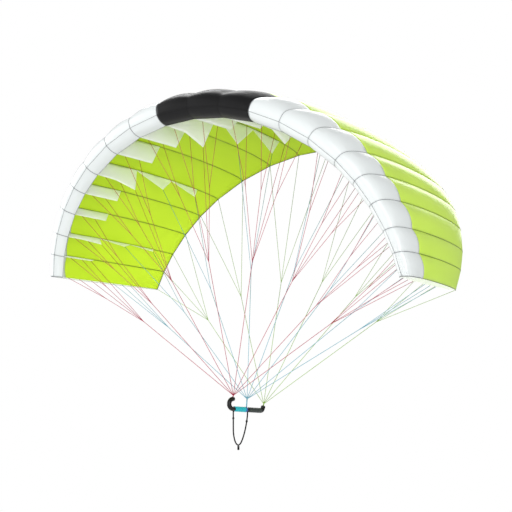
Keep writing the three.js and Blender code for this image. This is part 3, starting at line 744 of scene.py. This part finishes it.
for node, first, last, finish, slot in NOSES:
    points, seam, _ = skin_run(first, last, nose_t, nose_n, nose_bulge)
    nose = add_sheet(f"{node}_cloth", points, SKIN_CLOTH, seam)
    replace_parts(finish.on(nose), node)
    declare_sheet(points, [f"rib_{rib + 1:02d}" for rib in range(first, last + 1)])

# Main panels: lime ripstop, one strip of cloth for each cell, sewn to its neighbours over the ribs and
# to the nose in front. The wind fills each one into a shallow billow that flattens towards the rear.
PANEL_ROWS = 61
PANEL_PARTING = 0.0005  # behind the nose band, in parts of the chord
LIME_COLOURS = srgb(203, 228, 98), srgb(192, 220, 88), srgb(146, 174, 38), srgb(228, 244, 122)
INNER_LIME_COLOURS = srgb(188, 212, 45), srgb(137, 163, 33), srgb(142, 170, 30), srgb(228, 244, 106)
lime_finish = cloth_finish("lime_cloth", *LIME_COLOURS, through=0.4, roughness=0.38, gloss=0.7)
# Painted shade on the inner face: with climb 0.8, most of its colour goes by height, darker towards the top
# of the underside.
inner_lime_finish = cloth_finish(
    "lime_cloth_inner", *INNER_LIME_COLOURS, through=0.4, roughness=0.6, gloss=0.0, climb=0.8,
)
panel_t = BAND_END + PANEL_PARTING + (1 - BAND_END - PANEL_PARTING) * np.linspace(0, 1, PANEL_ROWS)
panel_n = camber(panel_t)
for cell in range(RIBS - 1):
    points, seam, _ = skin_run(cell, cell + 1, panel_t, panel_n, billow(panel_t))
    panel = add_sheet(f"panel_cloth_{cell + 1:02d}", points, SKIN_CLOTH, seam)
    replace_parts(lime_finish.on(panel, inner_lime_finish), f"panel_{cell + 1:02d}")
    declare_sheet(points, [f"rib_{rib + 1:02d}" for rib in (cell, cell + 1)])

# Seam tapes: narrow woven tapes sewn along every rib over the seams between the cells, outside and
# inside: grey on the white nose, black on the black one and olive on the lime panels.
TAPE_HALF_WIDTH, TAPE_HALF_HEIGHT = 0.0017, 0.0004
TAPE_OFF = 0.0009
TAPE_SIDES = 8
TAPE_ROWS = 110
TAPE_GRAINS, TAPE_RELIEF = 500.0, (0.2, 0.0003)


def tape_points(path, side, normal):
    """Flat tape along a path: path + half width cos a side + half height sin a normal."""
    angle = np.linspace(0, 2 * np.pi, TAPE_SIDES, endpoint=False)[None, :, None]
    wide = TAPE_HALF_WIDTH * np.cos(angle) * side[:, None]
    high = TAPE_HALF_HEIGHT * np.sin(angle) * normal[:, None]
    return path[:, None] + wide + high


def add_joined(name, grids):
    """One piece of several tubes, each closed at both ends."""
    faces, caps, start = [], [], 0
    for grid in grids:
        rows, columns = grid.shape[:2]
        faces.append(grid_faces(rows, columns, wrap=True)[0] + start)
        last = start + (rows - 1) * columns
        caps += [range(start + columns - 1, start - 1, -1), range(last, last + columns)]
        start += rows * columns
    points = np.concatenate([grid.reshape(-1, 3) for grid in grids])
    return add_piece(name, points, np.concatenate(faces), caps)


def tape_finish(name, light, dark, shine=0.5):
    """Woven tape or cord: a dull grain of two tones."""
    dull = {"Roughness": 0.6, "Specular IOR Level": shine}
    return grained_finish(name, light, dark, TAPE_GRAINS, TAPE_RELIEF, dull)


rear_t = BAND_END + (1 - BAND_END) * np.linspace(0, 1, TAPE_ROWS)
TAPE_RUNS = [(nose_t, nose_n), (rear_t, camber(rear_t))]
TAPE_LOOKS = {
    "grey": (tape_finish("grey_tape", srgb(104, 108, 110), srgb(88, 92, 94)), "white_cloth"),
    "black": (tape_finish("black_tape", srgb(12, 12, 13), srgb(8, 8, 9), shine=0.1), "black_cloth"),
    "olive": (tape_finish("olive_tape", srgb(96, 116, 26), srgb(76, 94, 20)), "lime_cloth"),
}
tapes = {(colour, way): [] for colour in TAPE_LOOKS for way in (1, -1)}
for index in range(RIBS):
    nose_colour = "black" if BLACK_FROM < index < BLACK_TO else "grey"
    for (t, n), colour in zip(TAPE_RUNS, (nose_colour, "olive")):
        normal_t, normal_n = outward(t, n)
        off = normal_t[:, None] * rib_back[index] + normal_n[:, None] * rib_up[index]
        side = np.broadcast_to(rib_side[index], off.shape)
        for way in (1, -1):
            line = on_rib(index, t, n) + way * TAPE_OFF * off
            tapes[colour, way].append(tape_points(line, side * way, off * way))
for (colour, way), grids in tapes.items():
    finish, slot = TAPE_LOOKS[colour]
    place = "outside" if way > 0 else "inside"
    finish.on(add_joined(f"{colour}_tapes_{place}", grids))

# Hems: a thin cord is sewn into the front seam, into the inner edge of the nose and into the trailing
# edge, and shows as a fine dark line along each.
HEM_RADIUS, REAR_HEM_RADIUS = 0.0011, 0.0019
HEM_OFF = 0.0004
CHORDWISE = (0, 1, 0)
HEM_LOOKS = TAPE_LOOKS | {
    "moss": (tape_finish("moss_cord", srgb(50, 62, 18), srgb(38, 48, 14)), "lime_cloth"),
}
front = slice(NOSE_ROWS // 2 - 1, NOSE_ROWS // 2 + 2)
HEM_RUNS = [
    ("front_seam", nose_t[front], nose_n[front], 1, HEM_RADIUS, None),
    ("nose_hem", nose_t[:3], nose_n[:3], 0, HEM_RADIUS, None),
    ("rear_hem", panel_t[-3:], panel_n[-3:], 2, REAR_HEM_RADIUS, "moss"),
]  # three rows of the profile, the row that the cord follows, its radius, and its colour if not the span's
HEM_SPANS = [
    ("left", 0, BLACK_FROM, "grey"),
    ("centre", BLACK_FROM, BLACK_TO, "black"),
    ("right", BLACK_TO, RIBS - 1, "grey"),
]
for name, t, n, row, radius, own_colour in HEM_RUNS:
    for place, first, last, colour in HEM_SPANS:
        points, _, normal = skin_run(first, last, t, n, np.zeros_like(t))
        path = points[row] + normal[row] * HEM_OFF
        hem = add_joined(f"{name}_{place}", [tube_points(path, radius, TAPE_SIDES, CHORDWISE)])
        finish, slot = HEM_LOOKS[own_colour or colour]
        finish.on(hem)

# Bridle lines: thin braided lines. Each main line climbs from its gather above the bar and splits into
# upper lines, which end in small loops sewn to the ribs and, at the rear, to the trailing edge.
UPPER_RADIUS, MAIN_RADIUS, KNOT_RADIUS = 0.00135, 0.0016, 0.0024
PIGTAIL_HALF, PIGTAIL_RADIUS = (0.002, 0.0, 0.0), 0.0019
LINE_SIDES = 8
LINE_SPOKE = (0.31, 0.87, 0.39)  # lies along none of the lines
LINE_END_GAP = 0.0016
KNOT_ROWS, KNOT_POLE = 6, 0.25
FORK_AT, FORK_SHARE = (0.11, 0.21), 0.46
FRONT_MAINS = [
    dict(forks=[0, 1], singles=[(0, 0.32), (1, 0.29)]),
    dict(forks=[2, 3], singles=[(2, 0.295)]),
    dict(forks=[4, 5, 6], singles=[(5, 0.295)]),
    dict(forks=[7, 8, 9], singles=[(8, 0.295)]),
]  # ribs from the tip: those with a forked pair, and those with one line at a chord station
MIDDLE_MAINS = [
    dict(forks=[], singles=[(0, 0.53), (0, 0.62), (0, 0.71)]),
    dict(forks=[], singles=[(2, 0.545), (2, 0.795)]),
    dict(forks=[], singles=[(5, 0.545), (5, 0.795)]),
    dict(forks=[], singles=[(8, 0.545), (8, 0.795)]),
]
REAR_MAINS = [
    dict(forks=[], singles=[(0, 1.0), (1, 1.0), (2, 1.0), (3, 1.0)]),
    dict(forks=[], singles=[(4, 1.0), (5, 1.0), (6, 1.0)]),
    dict(forks=[], singles=[(7, 1.0), (8, 1.0), (9, 1.0)]),
]


def loop_point(index, t):
    """The free edge of a rib at chord station t, or the lower face of the skin at the trailing edge."""
    from_tip = min(index, RIBS - 1 - index)
    if t == 1.0 and from_tip:
        return on_rib(index, 1.0, -SKIN_CLOTH / 2 / rib_chord[index])
    corners = [(NOSE_SEAM_T, NOSE_SEAM_N)] + rib_edges(from_tip)[1]
    return on_rib(index, t, np.interp(t, *np.transpose(corners)))


def line_fan(mains, gather, length):
    """Ends and radius of every line of a fan, and its knots. A main line runs from the gather towards the
    middle of its loops, and a forked pair joins part of the way down."""
    lines, knots = [], [gather]
    for order in (range(RIBS), range(RIBS)[::-1]):
        for main in mains:
            forks = [[loop_point(order[rib], t) for t in FORK_AT] for rib in main["forks"]]
            singles = [loop_point(order[rib], t) for rib, t in main["singles"]]
            aim = np.mean(sum(forks, []) + singles, axis=0)
            branch = gather + length * unit(aim - gather)
            knots.append(branch)
            lines.append((gather, branch, MAIN_RADIUS))
            lines += [(loop, branch, UPPER_RADIUS) for loop in singles]
            for pair in forks:
                join = np.mean(pair, axis=0) * (1 - FORK_SHARE) + branch * FORK_SHARE
                knots.append(join)
                lines.append((join, branch, UPPER_RADIUS))
                lines += [(loop, join, UPPER_RADIUS) for loop in pair]
    starts, ends, radii = (np.array(part) for part in zip(*lines))
    return starts, ends, radii, np.array(knots)


def rod_points(starts, ends, radii):
    """A thin rod for each line: two rings, start and end + radius (cos a side + sin a up)."""
    along = unit(ends - starts)
    side = unit(np.cross(along, LINE_SPOKE))
    up = np.cross(along, side)
    angle = np.linspace(0, 2 * np.pi, LINE_SIDES, endpoint=False)[None, :, None]
    ring = (np.cos(angle) * side[:, None] + np.sin(angle) * up[:, None]) * radii[:, None, None]
    return np.stack([starts[:, None] + ring, ends[:, None] + ring], axis=1)


def knot_points(centres, radius):
    """A small ball for each knot: centre + radius (sin b cos a, sin b sin a, -cos b)."""
    fall = np.linspace(KNOT_POLE, np.pi - KNOT_POLE, KNOT_ROWS)[:, None]
    angle = np.linspace(0, 2 * np.pi, LINE_SIDES, endpoint=False)[None, :]
    ball = np.broadcast_arrays(np.sin(fall) * np.cos(angle), np.sin(fall) * np.sin(angle), -np.cos(fall))
    return centres[:, None, None] + radius * np.stack(ball, -1)


LINE_STRANDS, LINE_RELIEF = 600.0, (0.3, 0.0002)
LINE_DULL = {"Roughness": 0.55}
REDS = srgb(124, 10, 46), srgb(176, 22, 66)
BLUES = srgb(54, 112, 138), srgb(98, 168, 180)
GREENS = srgb(96, 128, 46), srgb(144, 182, 80)
FANS = [
    ("lines_front", "red_line", REDS, FRONT_MAINS, 0.775, (0, -0.071, 0.0815), (0, -0.078, 0.069)),
    ("lines_middle", "blue_line", BLUES, MIDDLE_MAINS, 0.790, (0, 0.062, 0.0564), (0, 0.0555, 0.002)),
    ("lines_rear", "green_line", GREENS, REAR_MAINS, 0.810, (0, 0.2245, 0.0214), (0, 0.2219, 0.0083)),
]  # the main lines and their length, the gather where they meet, and where their pigtail goes into the bar
for node, slot, colours, mains, length, gather, into_bar in FANS:
    gather, into_bar = np.array(gather), np.array(into_bar)
    starts, ends, radii, knots = line_fan(mains, gather, length)
    upper = radii == UPPER_RADIUS
    starts = starts + upper[:, None] * unit(ends - starts) * LINE_END_GAP
    pigtail = np.array([into_bar - PIGTAIL_HALF, into_bar + PIGTAIL_HALF])
    starts = np.concatenate([starts, pigtail])
    ends = np.concatenate([ends, pigtail + gather - into_bar])
    radii = np.concatenate([radii, [PIGTAIL_RADIUS] * 2])
    grids = list(rod_points(starts, ends, radii)) + list(knot_points(knots, KNOT_RADIUS))
    lines = add_joined(f"{node}_braid", grids)
    finish = grained_finish(f"{slot}_braid", *colours, LINE_STRANDS, LINE_RELIEF, LINE_DULL)
    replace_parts(finish.on(lines), node)

# Whipping: a few turns of deep blue line wound tightly round the bar behind the grip. They hold the
# pigtail of the middle lines in its place.
WHIPPING_FROM, WHIPPING_TURNS, WHIPPING_RADIUS = 0.0388, 5, 0.00105
WHIPPING_STEPS = 32  # for each turn
WHIPPING_BLUES = srgb(24, 54, 124), srgb(40, 84, 176)


def whipping_path():
    """Helix round the bar: direction (from + pitch turns) + out (cos a side + sin a up), a line's
    thickness between its turns."""
    turns = np.linspace(0, WHIPPING_TURNS, WHIPPING_TURNS * WHIPPING_STEPS + 1)[:, None]
    side = np.array(SPANWISE)
    up = np.cross(side, bar_direction)
    out = BAR_RADIUS + WHIPPING_RADIUS
    ring = np.cos(2 * np.pi * turns) * side + np.sin(2 * np.pi * turns) * up
    return bar_direction * (WHIPPING_FROM + 2 * WHIPPING_RADIUS * (turns + 0.5)) + out * ring


whipping = add_tube("blue_whipping", whipping_path(), WHIPPING_RADIUS, LINE_SIDES, bar_direction)
whipping_finish = grained_finish("deep_blue_line", *WHIPPING_BLUES, LINE_STRANDS, LINE_RELIEF, LINE_DULL)
whipping_finish.on(whipping)

# Studio: a pale round floor at standing height below the hand, and even white light from all round.
# Soft boxes stand overhead, in front, behind, high on the left and, far off, on both sides, and one
# lies on the floor.
FLOOR_Z, FLOOR_RADIUS, FLOOR_SIDES = -1.45, 9.0, 96
FLOOR_GREY, FLOOR_WHITE = (0.52, 0.52, 0.52, 1.0), (0.88, 0.88, 0.88, 1.0)
FLOOR_FADE = {"From Min": 3.0, "From Max": 9.0}  # distances over which the grey goes over to white
floor_angle = np.linspace(0, 2 * np.pi, FLOOR_SIDES, endpoint=False)
floor_rim = np.stack([np.cos(floor_angle), np.sin(floor_angle), np.zeros(FLOOR_SIDES)], -1) * FLOOR_RADIUS
floor_mesh = bpy.data.meshes.new("floor")
floor_mesh.from_pydata((floor_rim + (0, 0, FLOOR_Z)).tolist(), [], [list(range(FLOOR_SIDES))])
floor = bpy.data.objects.new("floor", floor_mesh)
bpy.context.collection.objects.link(floor)
floor_finish = Finish("pale_floor", {"Roughness": 0.9})
centre_to_here = {0: floor_finish.place()}
reach = floor_finish.node("ShaderNodeVectorMath", {"operation": "LENGTH"}, centre_to_here, output="Value")
fade = floor_finish.node("ShaderNodeMapRange", {}, FLOOR_FADE | {"Value": reach})
floor_finish.set({"Base Color": floor_finish.mix(fade, FLOOR_GREY, FLOOR_WHITE)})
floor_finish.on(floor)

AMBIENT, BACKDROP, MIRRORED = 0.78, 1.0, 0.4  # on the wing, as the camera sees it, and in reflections
WHITE = (1.0, 1.0, 1.0, 1.0)
world = bpy.data.worlds.new("studio")
world.use_nodes = True
bpy.context.scene.world = world
surroundings = Wiring(world.node_tree)
seen = surroundings.node("ShaderNodeLightPath", output="Is Camera Ray")
mirrored = seen.output("Is Glossy Ray")
level = seen * BACKDROP + mirrored * MIRRORED + (1 - seen - mirrored) * AMBIENT
background = world.node_tree.nodes["Background"]
surroundings.feed(background.inputs["Color"], WHITE)
surroundings.feed(background.inputs["Strength"], level)
SOFT_BOXES = [
    ("overhead", (4.0, -6.0, 5.5), (0.4, 0.0, 1.2), 4.0, 280.0),
    ("left", (-30.0, -8.3, 2.0), (0.0, 0.2, 1.0), 18.75, 9400.0),
    ("right", (19.2, -16.5, 1.65), (-0.3, 0.0, 0.9), 10.0, 3300.0),
    ("front", (-2.0, -9.0, 2.0), (-0.3, 0.0, 0.9), 4.0, 90.0),
    ("behind", (-3.0, 7.8, 3.6), (0.5, 0.3, 1.3), 4.5, 230.0),
    ("high left", (-5.0, 4.5, 6.5), (-0.3, 0.3, 1.4), 3.0, 260.0),
    ("below", (0.0, 0.0, -1.4), (0.0, 0.0, 1.0), 6.0, 60.0),
]  # place, what it points at, side and watts
for name, at, towards, size, power in SOFT_BOXES:
    lamp = bpy.data.lights.new(name, "AREA")
    lamp.size = size
    lamp.energy = power
    box = bpy.data.objects.new(name, lamp)
    box.location = at
    box.visible_camera = False
    aim = unit(np.subtract(at, towards))
    box.rotation_euler = (np.arccos(aim[2]), 0.0, np.arctan2(aim[0], -aim[1]))
    bpy.context.collection.objects.link(box)
